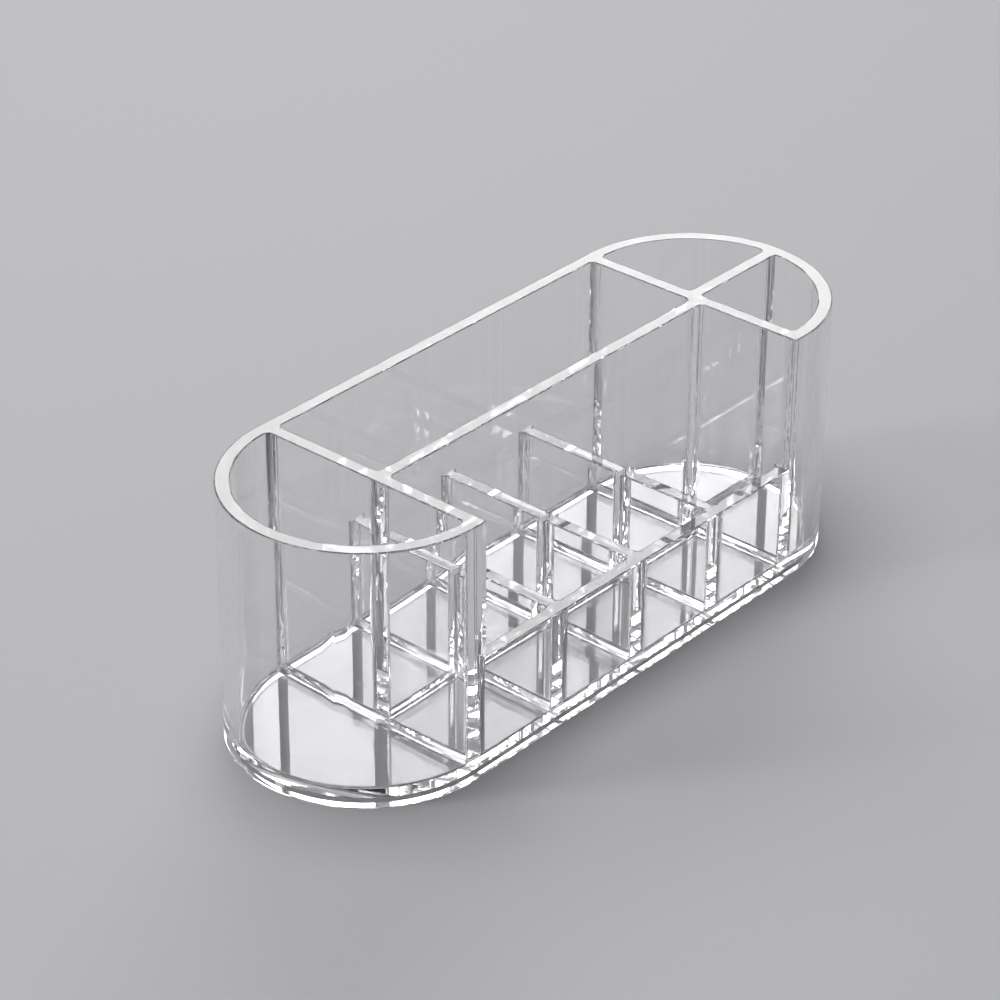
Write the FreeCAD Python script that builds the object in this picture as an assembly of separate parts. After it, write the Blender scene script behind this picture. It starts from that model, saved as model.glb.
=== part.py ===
# Clear vanity organizer: a long tray with two half-round ends, built from cemented sheet pieces.
# Millimetres, +Z up. The origin is on the table under the middle of the tray.
# +X runs along the tray to the end whose well is divided, and the low front wall is on the -Y side.
import FreeCAD, Part
import os
from FreeCAD import Vector

# Driving dimensions
body_width = 60.0  # across the outer faces of the front and rear walls
overall_height = 60.0  # table to the tall rim
low_wall_height = 28.0  # table to the top of the front wall and the slot dividers
wall = 3.2  # every upright sheet
floor_sheet = 1.8  # the floor's own sheet
foot_height = 1.2  # how far the outer walls reach below the floor
cells_per_row = 4
cell_width = 22.7  # clear width of one slot along X
front_cell_depth = 22.7  # clear depth of a front slot, so that front slots are square
end_divider_offset = 0.0  # middle of the right well's divider, from the tray's middle line

# Clearances
cement_gap = 0.05  # around the floor and at the curved end of the right well's divider
lap_clearance = 0.1  # each side of a sheet in a half-lap slot

# Worked-out places
half_width = body_width / 2
inner_half_width = half_width - wall
floor_top = foot_height + floor_sheet
row_length = cells_per_row * cell_width + (cells_per_row - 1) * wall
row_end = row_length / 2  # inner face of a cross wall
end_centre = row_end + wall  # outer face of a cross wall, where the half-round end starts
centre_front = -inner_half_width + front_cell_depth  # front face of the centre divider
centre_rear = centre_front + wall
lap_height = (floor_top + low_wall_height) / 2  # where the two slots of a half-lap meet


def block(x, y, z):
    # a box between pairs of faces
    size = [high - low for low, high in (x, y, z)]
    return Part.makeBox(*size, Vector(x[0], y[0], z[0]))


def cylinder(radius, x, bottom, top):
    return Part.makeCylinder(radius, top - bottom, Vector(x, 0, bottom), Vector(0, 0, 1))


def base_plate():
    # the floor: a sheet with half-round ends, let in between the outer walls above the table
    radius = inner_half_width - cement_gap
    middle = block((-end_centre, end_centre), (-radius, radius), (foot_height, floor_top))
    ends = [cylinder(radius, x, foot_height, floor_top) for x in (-end_centre, end_centre)]
    return middle.fuse(ends).removeSplitter()


def end_wall(side):
    # one half-round end, bent from a strip, from table to rim. side is -1 for left and 1 for right
    centre = side * end_centre
    ring = cylinder(half_width, centre, 0, overall_height)
    ring = ring.cut(cylinder(inner_half_width, centre, 0, overall_height))
    outer = side * (end_centre + half_width)
    keep = block(sorted((centre, outer)), (-half_width, half_width), (0, overall_height))
    return ring.common(keep)


def rear_wall():
    return block((-row_end, row_end), (inner_half_width, half_width), (0, overall_height))


def front_wall():
    return block((-row_end, row_end), (-half_width, -inner_half_width), (0, low_wall_height))


def cross_wall(side):
    # stands on the floor, with a short leg at each end that reaches down past the floor to the table
    x = sorted((side * row_end, side * end_centre))
    sheet = block(x, (-half_width, half_width), (0, overall_height))
    notch = block(x, (-inner_half_width, inner_half_width), (0, floor_top))
    return sheet.cut(notch)


def divider_places():
    # the lower X face of each slot divider, from left to right
    pitch = cell_width + wall
    return [-row_end + cell_width + k * pitch for k in range(cells_per_row - 1)]


def centre_divider():
    # the tall divider between the rows, slotted from below over each slot divider
    sheet = block((-row_end, row_end), (centre_front, centre_rear), (floor_top, overall_height))
    for x in divider_places():
        lap = (x - lap_clearance, x + wall + lap_clearance)
        sheet = sheet.cut(block(lap, (centre_front, centre_rear), (floor_top, lap_height)))
    return sheet


def slot_divider(x):
    # a low divider from front wall to rear wall, slotted from above for the centre divider
    faces = (x, x + wall)
    sheet = block(faces, (-inner_half_width, inner_half_width), (floor_top, low_wall_height))
    lap = (centre_front - lap_clearance, centre_rear + lap_clearance)
    return sheet.cut(block(faces, lap, (lap_height, low_wall_height)))


def end_divider():
    # halves the right well, with its far edge rounded to the bent wall
    y = (end_divider_offset - wall / 2, end_divider_offset + wall / 2)
    sheet = block((end_centre, end_centre + half_width), y, (floor_top, overall_height))
    return sheet.common(cylinder(inner_half_width - cement_gap, end_centre, floor_top, overall_height))


def organizer():
    pieces = {
        "base_plate": base_plate(),
        "left_end_wall": end_wall(-1),
        "right_end_wall": end_wall(1),
        "rear_wall": rear_wall(),
        "front_wall": front_wall(),
        "left_cross_wall": cross_wall(-1),
        "right_cross_wall": cross_wall(1),
        "centre_divider": centre_divider(),
        "right_end_divider": end_divider(),
    }
    for number, x in enumerate(divider_places(), start=1):
        pieces[f"slot_divider_{number}"] = slot_divider(x)
    return pieces


os.makedirs("parts", exist_ok=True)
for name, shape in organizer().items():
    shape.exportStep(f"parts/{name}.step")
    print(name, "solids", len(shape.Solids), "volume", round(shape.Volume, 1))
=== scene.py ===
from math import cos, pi, radians, sin

import bmesh
import bpy
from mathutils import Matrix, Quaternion, Vector
from mathutils.bvhtree import BVHTree


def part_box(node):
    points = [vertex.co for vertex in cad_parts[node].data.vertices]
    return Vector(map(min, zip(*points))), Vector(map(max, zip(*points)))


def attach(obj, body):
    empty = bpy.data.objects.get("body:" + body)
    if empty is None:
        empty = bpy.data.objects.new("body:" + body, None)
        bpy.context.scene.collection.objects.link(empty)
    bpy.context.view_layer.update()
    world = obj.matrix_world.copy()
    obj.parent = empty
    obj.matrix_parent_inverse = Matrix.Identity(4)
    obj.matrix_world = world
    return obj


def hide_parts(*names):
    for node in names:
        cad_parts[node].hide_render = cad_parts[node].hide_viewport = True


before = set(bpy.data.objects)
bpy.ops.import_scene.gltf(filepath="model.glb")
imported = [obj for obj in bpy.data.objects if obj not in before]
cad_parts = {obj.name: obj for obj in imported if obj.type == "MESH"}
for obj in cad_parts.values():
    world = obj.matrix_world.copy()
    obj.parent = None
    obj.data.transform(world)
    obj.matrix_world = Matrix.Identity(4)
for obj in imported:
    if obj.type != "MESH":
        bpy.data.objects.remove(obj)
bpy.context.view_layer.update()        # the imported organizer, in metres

scene = bpy.context.scene
mm = 0.001
cm = 10 * mm
print("frame loaded:", len(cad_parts), "nodes")


# places that the pieces share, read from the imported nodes

placeDigits = 7     # to a ten-thousandth of a millimetre


def corners(node):
    return [[round(value, placeDigits) for value in corner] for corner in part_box(node)]


rearLow, rearHigh = corners("rear_wall")
frontHigh = corners("front_wall")[1]
plateLow, plateHigh = corners("base_plate")
centreLow, centreHigh = corners("centre_divider")
crossLow, crossHigh = corners("right_cross_wall")
endDividerLow, endDividerHigh = corners("right_end_divider")
slotBoxes = {name: corners(name) for name in sorted(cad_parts) if name.startswith("slot_divider")}

halfWidth = rearHigh[1]
innerHalf = rearLow[1]
rimTop = rearHigh[2]
lowTop = frontHigh[2]
rowEnd = crossLow[0]         # inner face of a cross wall
endCentre = crossHigh[0]     # where a half-round end starts
plateBottom = plateLow[2]
plateTop = plateHigh[2]
lapHeight = (plateTop + lowTop) / 2    # the two slots of a half-lap meet here


# shader sockets that take part in Python arithmetic

class Wire:
    def __init__(self, tree, socket=None):
        self.tree = tree
        self.socket = socket

    def node(self, kind, settings=None, sockets=None, out=0):
        made = self.tree.nodes.new(kind)
        for key, value in (settings or {}).items():
            if key == "stops":
                self.setStops(made.color_ramp, value)
            else:
                setattr(made, key, value)
        for key, value in (sockets or {}).items():
            if isinstance(value, Wire):
                self.tree.links.new(value.socket, made.inputs[key])
            else:
                made.inputs[key].default_value = value
        return Wire(self.tree, made.outputs[out] if made.outputs else None)

    def setStops(self, ramp, stops):
        for place, colour in stops[2:]:
            ramp.elements.new(place)
        for element, (place, colour) in zip(ramp.elements, stops):
            element.position = place
            element.color = colour

    def maths(self, operation, first, second):
        return self.node("ShaderNodeMath", {"operation": operation}, {0: first, 1: second})

    def __add__(self, other):
        return self.maths("ADD", self, other)

    def __radd__(self, other):
        return self.maths("ADD", other, self)

    def __sub__(self, other):
        return self.maths("SUBTRACT", self, other)

    def __rsub__(self, other):
        return self.maths("SUBTRACT", other, self)

    def __mul__(self, other):
        return self.maths("MULTIPLY", self, other)

    def __rmul__(self, other):
        return self.maths("MULTIPLY", other, self)


def newMaterial(name):
    made = bpy.data.materials.new(name)
    made.use_nodes = True
    made.node_tree.nodes.clear()
    return made, Wire(made.node_tree)


def noise(wire, place, scale, detail):
    return wire.node("ShaderNodeTexNoise", sockets={"Vector": place, "Scale": scale, "Detail": detail})


def grey(value):
    return (value, value, value, 1)


# finishes

acrylic = {
    "tint": (0.988, 0.987, 0.994, 1),
    "ior": 1.49,
    "polish": 0.004,                    # roughness of the bare sheet
    "haze": 0.02,                       # what wiping marks add to it
    "hazeScale": 60,
    "hazeDetail": 4.0,
    "scratch": 0.12,                    # what hairline scratches add to it
    "scratchScale": 900,
    "scratchDetail": 2.0,
    "scratchTurn": (0.4, 0.7, 0.9),
    "scratchDraw": (1, 0.03, 0.3),      # drawn out along the second and third axes
    "scratchStart": 0.68,               # noise at which a scratch begins
    "scratchFull": 0.73,
    "ripple": 0.015 * mm,               # height of the sheet's slow waves
    "rippleScale": 45,
    "rippleDetail": 1.0,
}


def clearAcrylic():
    look = acrylic
    made, wire = newMaterial("clearAcrylic")
    place = wire.node("ShaderNodeTexCoord", out="Object")
    wiped = noise(wire, place, look["hazeScale"], look["hazeDetail"])
    drawn = wire.node("ShaderNodeMapping", sockets={
        "Vector": place, "Rotation": look["scratchTurn"], "Scale": look["scratchDraw"]})
    hairs = noise(wire, drawn, look["scratchScale"], look["scratchDetail"])
    stops = [(look["scratchStart"], grey(0)), (look["scratchFull"], grey(1))]
    scratched = wire.node("ShaderNodeValToRGB", {"stops": stops}, {"Fac": hairs})
    slow = noise(wire, place, look["rippleScale"], look["rippleDetail"])
    waves = wire.node("ShaderNodeBump", sockets={"Height": slow, "Strength": 1.0, "Distance": look["ripple"]})
    roughness = look["polish"] + wiped * look["haze"] + scratched * look["scratch"]
    skin = wire.node("ShaderNodeBsdfPrincipled", sockets={
        "Base Color": look["tint"], "Roughness": roughness, "IOR": look["ior"],
        "Transmission Weight": 1.0, "Normal": waves})
    wire.node("ShaderNodeOutputMaterial", sockets={"Surface": skin})
    return made


def cementedJoint():
    # sheet lies on both sides of a cemented face, so light goes through it unbent
    made, wire = newMaterial("cementedJoint")
    skin = wire.node("ShaderNodeBsdfPrincipled", sockets={"Alpha": 0.0})
    wire.node("ShaderNodeOutputMaterial", sockets={"Surface": skin})
    return made


sheetFinish = clearAcrylic()
jointFinish = cementedJoint()
print("finishes made")


# shapes

tray = {
    "arcSteps": 37,            # facets of a half-round end: odd, so that none ends near the divider's corners
    "cove": 1.15 * mm,         # radius of the inside corners
    "coveSteps": 8,
    "coveShare": 0.85,         # how much of a floor cove's height belongs to the floor
    "edgeRound": 0.3 * mm,     # outside edges, softened by polishing
    "edgeSteps": 3,
}
tiny = 0.001 * mm
beyond = 5 * mm                # how far a cutting shape stands out of the tray
pastCove = 0.2 * mm            # how far a divider's space reaches past its coves
cement = 0.05 * mm             # from a sheet's face to the joint on it
sideCement = 2 * cement        # more on the long walls and the ends, so that no two joints are in one plane
endCement = 3 * cement
facesUp = 0.9                  # a face with more than this as its normal's z is level
flatBend = radians(0.5)        # faces that bend less than this are in one plane
gentleBend = radians(6)        # more than the facets of a half-round end bend
sharpBend = radians(60)        # a bend past this is a corner or an edge
faceKinds = {"skin": 0, "joint": 1, "cove": 2}     # the first two are the pieces' material slots

seams = [set(), set()]         # x and y of every sheet's sides
seams[0].update((-endCentre, -rowEnd, rowEnd, endCentre))
seams[1].update((centreLow[1], centreHigh[1], endDividerLow[1], endDividerHigh[1]))
for slotLow, slotHigh in slotBoxes.values():
    seams[0].update((slotLow[0], slotHigh[0]))
slotSides = [-rowEnd, *(corner[0] for box in slotBoxes.values() for corner in box), rowEnd]
middles = [[(left + right) / 2 for left, right in zip(slotSides[::2], slotSides[1::2])],
           [(centreLow[1] - innerHalf) / 2, (centreHigh[1] + innerHalf) / 2]]


def vertsOf(parts):
    return [part for part in parts if isinstance(part, bmesh.types.BMVert)]


def spinHalf(mesh, parts, centre):
    return bmesh.ops.spin(mesh, geom=parts, cent=centre, axis=(0, 0, 1), angle=pi, steps=tray["arcSteps"])


def stadiumLoop(mesh, radius, level):
    # two half circles, joined by straight sides
    known = set(mesh.edges)
    ends = []
    for side in (1, -1):
        first = mesh.verts.new((side * endCentre, -side * radius, level))
        turned = spinHalf(mesh, [first], (side * endCentre, 0, level))
        ends += [first, vertsOf(turned["geom_last"])[0]]
    mesh.edges.new((ends[1], ends[2]))
    mesh.edges.new((ends[3], ends[0]))
    return [edge for edge in mesh.edges if edge not in known]


def stadiumSolid(rings):
    # a closed shape through rings of radius and level
    # the rings are bridged as a stack, then brought to their levels
    mesh = bmesh.new()
    loops = [stadiumLoop(mesh, radius, place * halfWidth) for place, (radius, level) in enumerate(rings)]
    for lower, upper in zip(loops, loops[1:]):
        bmesh.ops.bridge_loops(mesh, edges=lower + upper)
    for loop in (loops[0], loops[-1]):
        bmesh.ops.edgeloop_fill(mesh, edges=loop)
    for loop, (radius, level) in zip(loops, rings):
        for vert in {vert for edge in loop for vert in edge.verts}:
            vert.co.z = level
    bmesh.ops.recalc_face_normals(mesh, faces=mesh.faces)
    return mesh


def isLevel(face, level):
    return face.normal.z > facesUp and abs(face.calc_center_median().z - level) < tiny


def cutPlan(mesh, level):
    # the faces at one level are cut along every sheet's sides and through the middle of every slot
    for axis in (0, 1):
        normal = Vector((axis == 0, axis == 1, 0))
        for seam in sorted((*seams[axis], *middles[axis])):
            flat = [face for face in mesh.faces if isLevel(face, level)]
            parts = dict.fromkeys(part for face in flat for part in (*face.verts, *face.edges))
            bmesh.ops.bisect_plane(mesh, geom=[*parts, *flat], dist=tiny,
                                   plane_co=normal * seam, plane_no=normal)
    for vert in mesh.verts:
        for axis in (0, 1):
            for seam in seams[axis]:
                if abs(vert.co[axis] - seam) < tiny:
                    vert.co[axis] = seam


def sheetTop(point):
    # how high the tray stands at a point of its plan: 0 inside a compartment
    x, y = point.x, point.y
    if abs(x) > endCentre:
        outside = Vector((abs(x) - endCentre, y)).length > innerHalf
        onDivider = x > 0 and endDividerLow[1] < y < endDividerHigh[1]
        return rimTop if outside or onDivider else 0
    if abs(x) > rowEnd or y > innerHalf or centreLow[1] < y < centreHigh[1]:
        return rimTop
    onDivider = any(low[0] < x < high[0] for low, high in slotBoxes.values())
    return lowTop if y < -innerHalf or onDivider else 0


def extrude(mesh, faces, way):
    grown = bmesh.ops.extrude_face_region(mesh, geom=faces)
    bmesh.ops.translate(mesh, verts=vertsOf(grown["geom"]), vec=way)


def drawUp(mesh, faces, height):
    extrude(mesh, faces, (0, 0, height))
    bmesh.ops.delete(mesh, geom=faces, context="FACES")


def isSpare(edge):
    # within a flat face, and neither in the middle of a slot nor level with the low sheets
    if abs(edge.calc_face_angle_signed()) > flatBend:
        return False
    kept = [(2, lowTop), *((axis, middle) for axis in (0, 1) for middle in middles[axis])]
    ends = [vert.co for vert in edge.verts]
    return not any(all(abs(end[axis] - place) < tiny for end in ends) for axis, place in kept)


def wholeTray():
    # a floor over a foot, with the sheets drawn up from its plan
    outer = halfWidth - tiny
    mesh = stadiumSolid([(innerHalf, plateBottom), (innerHalf, 0), (outer, 0), (outer, plateTop),
                         (innerHalf, plateTop)])
    cutPlan(mesh, plateTop)
    for start, top in ((plateTop, lowTop), (lowTop, rimTop)):
        standing = [face for face in mesh.faces
                    if isLevel(face, start) and sheetTop(face.calc_center_median()) >= top]
        drawUp(mesh, standing, top - start)
    bmesh.ops.dissolve_edges(mesh, edges=[edge for edge in mesh.edges if isSpare(edge)], use_verts=True)
    return mesh


def bevelEdges(mesh, edges, size, steps):
    made = bmesh.ops.bevel(mesh, geom=edges, offset=size, offset_type="OFFSET", affect="EDGES",
                           segments=steps, profile=0.5, material=-1, clamp_overlap=False)
    return made["faces"]


def isCorner(edge):
    # an inside corner: upright, or along the floor
    bottom, top = sorted(vert.co.z for vert in edge.verts)
    upright = top - bottom > tiny
    onFloor = abs(top - plateTop) < tiny
    hollow = edge.calc_face_angle_signed() < -sharpBend
    return hollow and bottom > plateTop - tiny and (upright or onFloor)


def isPolished(edge):
    # an outside edge, but not on the table, where the foot stays square
    onTable = all(vert.co.z < tiny for vert in edge.verts)
    return not onTable and edge.calc_face_angle_signed() > sharpBend


def openEdges(mesh):
    return sum(not edge.is_manifold for edge in mesh.edges)


def volume(mesh):
    return round(mesh.calc_volume() / cm ** 3, 3)


whole = wholeTray()
print("tray drawn up:", len(whole.faces), "faces, volume cm3", volume(whole))
coves = bevelEdges(whole, [edge for edge in whole.edges if isCorner(edge)], tray["cove"], tray["coveSteps"])
for face in coves:
    face.material_index = faceKinds["cove"]
print("corners coved: volume cm3", volume(whole))
polished = [edge for edge in whole.edges if isPolished(edge)]
bevelEdges(whole, polished, tray["edgeRound"], tray["edgeSteps"])
print("edges rounded: open edges", openEdges(whole), "volume cm3", volume(whole))


# the space of each piece

def blockOf(x, y, z):
    # a block between pairs of faces
    mesh = bmesh.new()
    low, high = Vector((x[0], y[0], z[0])), Vector((x[1], y[1], z[1]))
    bmesh.ops.create_cube(mesh, size=1.0)
    bmesh.ops.scale(mesh, verts=mesh.verts, vec=high - low)
    bmesh.ops.translate(mesh, verts=mesh.verts, vec=(low + high) / 2)
    return mesh


def floorSpace():
    # the floor, with the coves that climb every sheet's foot
    mesh = stadiumSolid([(innerHalf - cement, plateBottom / 2), (innerHalf - cement, plateTop)])
    cutPlan(mesh, plateTop)
    inside = [face for face in mesh.faces
              if isLevel(face, plateTop) and not sheetTop(face.calc_center_median())]
    drawUp(mesh, inside, tray["coveShare"] * tray["cove"])
    return mesh


def endSpace(side):
    # a strip's section, spun half a turn
    mesh = bmesh.new()
    x = side * (endCentre + cement)
    inner, outer = innerHalf - endCement, halfWidth + beyond
    bottom, top = allZ
    outline = [(inner, bottom), (outer, bottom), (outer, top), (inner, top)]
    section = mesh.faces.new([mesh.verts.new((x, -side * y, z)) for y, z in outline])
    spinHalf(mesh, [section, *section.edges, *section.verts], (x, 0, 0))
    bmesh.ops.remove_doubles(mesh, verts=mesh.verts, dist=tiny)
    bmesh.ops.recalc_face_normals(mesh, faces=mesh.faces)
    return mesh


def centreSpace():
    # slotted from below over each slot divider
    bottom, top = allZ
    start, end = rowX
    outline = [(start, top), (start, bottom)]
    for slotLow, slotHigh in slotBoxes.values():
        left, right = slotLow[0], slotHigh[0]
        outline += [(left, bottom), (left, lapHeight), (right, lapHeight), (right, bottom)]
    outline += [(end, bottom), (end, top)]
    mesh = bmesh.new()
    face = mesh.faces.new([mesh.verts.new((x, centreLow[1] - cement, z)) for x, z in outline])
    extrude(mesh, [face], (0, centreHigh[1] - centreLow[1] + 2 * cement, 0))
    bmesh.ops.recalc_face_normals(mesh, faces=mesh.faces)
    return mesh


allX = endCentre + halfWidth + beyond
rowX = (cement - rowEnd, rowEnd - cement)
allY = (-halfWidth - beyond, halfWidth + beyond)
allZ = (-beyond, rimTop + beyond)
spread = tray["cove"] + pastCove       # from a divider to past its coves
endDividerY = (endDividerLow[1] - spread, endDividerHigh[1] + spread)
spaces = {                             # in the order in which they are taken out of the tray
    "base_plate": floorSpace(),
    "rear_wall": blockOf(rowX, (innerHalf - sideCement, allY[1]), allZ),
    "front_wall": blockOf(rowX, (allY[0], sideCement - innerHalf), allZ),
    "left_end_wall": endSpace(-1),
    "right_end_wall": endSpace(1),
    "centre_divider": centreSpace(),
}
for name, (low, high) in slotBoxes.items():
    spaces[name] = blockOf((low[0] - spread, high[0] + spread), allY, allZ)
spaces["right_end_divider"] = blockOf((endCentre + cement, allX), endDividerY, allZ)


def inOrder(mesh):
    # points and faces sorted by place, so that every run gives the same mesh
    points = sorted(mesh.verts, key=lambda vert: vert.co.to_tuple())
    rank = {vert: place for place, vert in enumerate(points)}
    outlines = []
    for face in mesh.faces:
        ranks = [rank[vert] for vert in face.verts]
        start = ranks.index(min(ranks))
        outlines.append((ranks[start:] + ranks[:start], face.material_index))
    ordered = bmesh.new()
    copies = [ordered.verts.new(vert.co) for vert in points]
    for ranks, kind in sorted(outlines):
        face = ordered.faces.new([copies[place] for place in ranks])
        face.material_index = kind
    ordered.normal_update()
    return ordered


def holdMesh(name, mesh):
    data = bpy.data.meshes.new(name)
    mesh.to_mesh(data)
    holder = bpy.data.objects.new(name, data)
    scene.collection.objects.link(holder)
    return holder


def combine(body, space, operation):
    holders = [holdMesh("body", body), holdMesh("space", space)]
    step = holders[0].modifiers.new("combine", "BOOLEAN")
    step.operation = operation
    step.solver = "MANIFOLD"
    step.object = holders[1]
    result = bmesh.new()
    result.from_object(holders[0], bpy.context.evaluated_depsgraph_get())
    for holder in holders:
        bpy.data.meshes.remove(holder.data)    # its object goes with it
    return result


shapes = {}
rest = inOrder(whole)
for name, space in spaces.items():
    cutter = inOrder(space)
    shapes[name] = combine(rest, cutter, "INTERSECT")
    rest = combine(rest, cutter, "DIFFERENCE")
for name, side in (("left_cross_wall", -1), ("right_cross_wall", 1)):
    shapes[name] = rest.copy()     # only the cross walls are left
    far = [face for face in shapes[name].faces if face.calc_center_median().x * side < 0]
    bmesh.ops.delete(shapes[name], geom=far, context="FACES")
print("pieces taken out:", len(shapes))


# cemented joints: the faces that touch another piece are marked

reach = 0.01 * mm         # how far in front of a face another piece is looked for
nearby = 4 * reach        # its surface is no further from there


def isInside(tree, point):
    hit, normal = tree.find_nearest(point, nearby)[:2]
    return hit is not None and (point - hit).dot(normal) < 0


def markJoints(mesh, others):
    for face in mesh.faces:
        ahead = face.calc_center_median() + face.normal * reach
        if any(isInside(tree, ahead) for tree in others):
            face.material_index = faceKinds["joint"]


def smoothBends(mesh):
    # the coves and the half-round ends are smooth, all other edges stay crisp
    cove = faceKinds["cove"]
    for face in mesh.faces:
        face.smooth = True
    for edge in mesh.edges:
        kinds = {face.material_index for face in edge.link_faces}
        gentle = edge.calc_face_angle(pi) < gentleBend
        edge.smooth = kinds == {cove} or (cove not in kinds and gentle)
    for face in mesh.faces:
        if face.material_index == cove:
            face.material_index = faceKinds["skin"]


def pieceName(node):
    first, *others = node.split("_")
    return first + "".join(word.capitalize() for word in others)


def finishPiece(node, mesh):
    piece = holdMesh(pieceName(node), mesh)
    mesh.free()
    piece.data.materials.append(sheetFinish)
    piece.data.materials.append(jointFinish)
    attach(piece, "root")
    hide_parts(node)


for name, mesh in shapes.items():
    bmesh.ops.remove_doubles(mesh, verts=mesh.verts, dist=tiny)
    bmesh.ops.dissolve_degenerate(mesh, edges=mesh.edges, dist=tiny)
    shapes[name] = inOrder(mesh)
    bmesh.ops.triangulate(shapes[name], faces=shapes[name].faces)
trees = {name: BVHTree.FromBMesh(mesh) for name, mesh in shapes.items()}
for name, mesh in shapes.items():
    markJoints(mesh, [tree for other, tree in trees.items() if other != name])
    smoothBends(mesh)
    print(name, "faces", len(mesh.faces), "open edges", openEdges(mesh), "volume cm3", volume(mesh))
    finishPiece(name, mesh)
print("pieces finished")


# studio

studio = {
    "floorColour": (0.50, 0.50, 0.51, 1),
    "floorSize": 8.0,
    "floorDrop": 0.05 * mm,    # a hair of air under the foot, so that its lower face mirrors light inside
    "floorSheen": 0.2,
    "floorMatt": 0.55,         # roughness of the smoothest spots
    "grain": 0.2,              # what the floor's grain adds to it
    "grainScale": 700,
    "grainDetail": 2.0,
    "horizon": (0.55, 0.55, 0.56, 1),
    "zenith": (0.15, 0.15, 0.16, 1),
    "horizonEnd": 0.1,         # up to this height, as a share of straight up, the sky is the horizon's colour
    "zenithStart": 0.8,
    "bounces": 32,             # light is mirrored many times along a sheet
}


def studioFloor():
    look = studio
    mesh = bmesh.new()
    bmesh.ops.create_grid(mesh, x_segments=1, y_segments=1, size=look["floorSize"] / 2)
    bmesh.ops.translate(mesh, verts=mesh.verts, vec=(0, 0, -look["floorDrop"]))
    floor = holdMesh("floor", mesh)
    mesh.free()
    made, wire = newMaterial("paleFloor")
    place = wire.node("ShaderNodeTexCoord", out="Object")
    grain = noise(wire, place, look["grainScale"], look["grainDetail"])
    skin = wire.node("ShaderNodeBsdfPrincipled", sockets={
        "Base Color": look["floorColour"], "Roughness": look["floorMatt"] + grain * look["grain"],
        "Specular IOR Level": look["floorSheen"]})
    wire.node("ShaderNodeOutputMaterial", sockets={"Surface": skin})
    floor.data.materials.append(made)


def studioWorld():
    look = studio
    world = bpy.data.worlds.new("studio")
    world.use_nodes = True
    world.node_tree.nodes.clear()
    wire = Wire(world.node_tree)
    direction = wire.node("ShaderNodeTexCoord", out="Generated")
    height = wire.node("ShaderNodeSeparateXYZ", sockets={0: direction}, out=2)
    stops = [(look["horizonEnd"], look["horizon"]), (look["zenithStart"], look["zenith"])]
    shade = wire.node("ShaderNodeValToRGB", {"stops": stops}, {"Fac": height})
    sky = wire.node("ShaderNodeBackground", sockets={"Color": shade, "Strength": 1.0})
    wire.node("ShaderNodeOutputWorld", sockets={"Surface": sky})
    scene.world = world


lamps = {
    "rim": {"azimuth": 131, "elevation": 31.5, "distance": 1.5, "size": (0.9, 0.34), "power": 6.2},
    "top": {"azimuth": 200, "elevation": 82, "distance": 1.4, "size": (0.85, 0.85), "power": 10},
    "left": {"azimuth": 235, "elevation": 32, "distance": 1.4, "size": (0.18, 1.2), "power": 3.8},
}


def heading(azimuth, elevation):
    # azimuth 0 looks along +Y, so the camera or lamp stands at -Y
    turn, lift = radians(azimuth), radians(elevation)
    return Vector((sin(turn) * cos(lift), -cos(turn) * cos(lift), sin(lift)))


def softbox(name):
    look = lamps[name]
    lamp = bpy.data.lights.new(name + "Softbox", "AREA")
    lamp.shape = "RECTANGLE"
    lamp.size, lamp.size_y = look["size"]
    lamp.energy = look["power"]
    stand = bpy.data.objects.new(name + "Softbox", lamp)
    towards = heading(look["azimuth"], look["elevation"])
    stand.location = towards * look["distance"]
    stand.rotation_euler = towards.to_track_quat("Z", "Y").to_euler()
    stand.visible_camera = False
    scene.collection.objects.link(stand)


view = {
    "azimuth": -49.14,
    "elevation": 30.53,
    "roll": 0.39,
    "distance": 746.54 * mm,
    "aim": Vector((-11.74, 0, 35.99)) * mm,
    "lens": 127.415,       # millimetres, as the sensor's width
    "sensor": 36,
}


def photoCamera():
    camera = bpy.data.cameras.new("photoCamera")
    camera.lens = view["lens"]
    camera.sensor_width = view["sensor"]
    stand = bpy.data.objects.new("photoCamera", camera)
    towards = heading(view["azimuth"], view["elevation"])
    stand.location = view["aim"] + towards * view["distance"]
    turn = Quaternion(towards, radians(view["roll"])) @ towards.to_track_quat("Z", "Y")
    stand.rotation_euler = turn.to_euler()
    scene.collection.objects.link(stand)
    scene.camera = stand


studioFloor()
studioWorld()
for name in lamps:
    softbox(name)
photoCamera()
scene.view_settings.view_transform = "Standard"
for kind in ("max_bounces", "glossy_bounces", "transmission_bounces", "transparent_max_bounces"):
    setattr(scene.cycles, kind, studio["bounces"])
print("studio set")
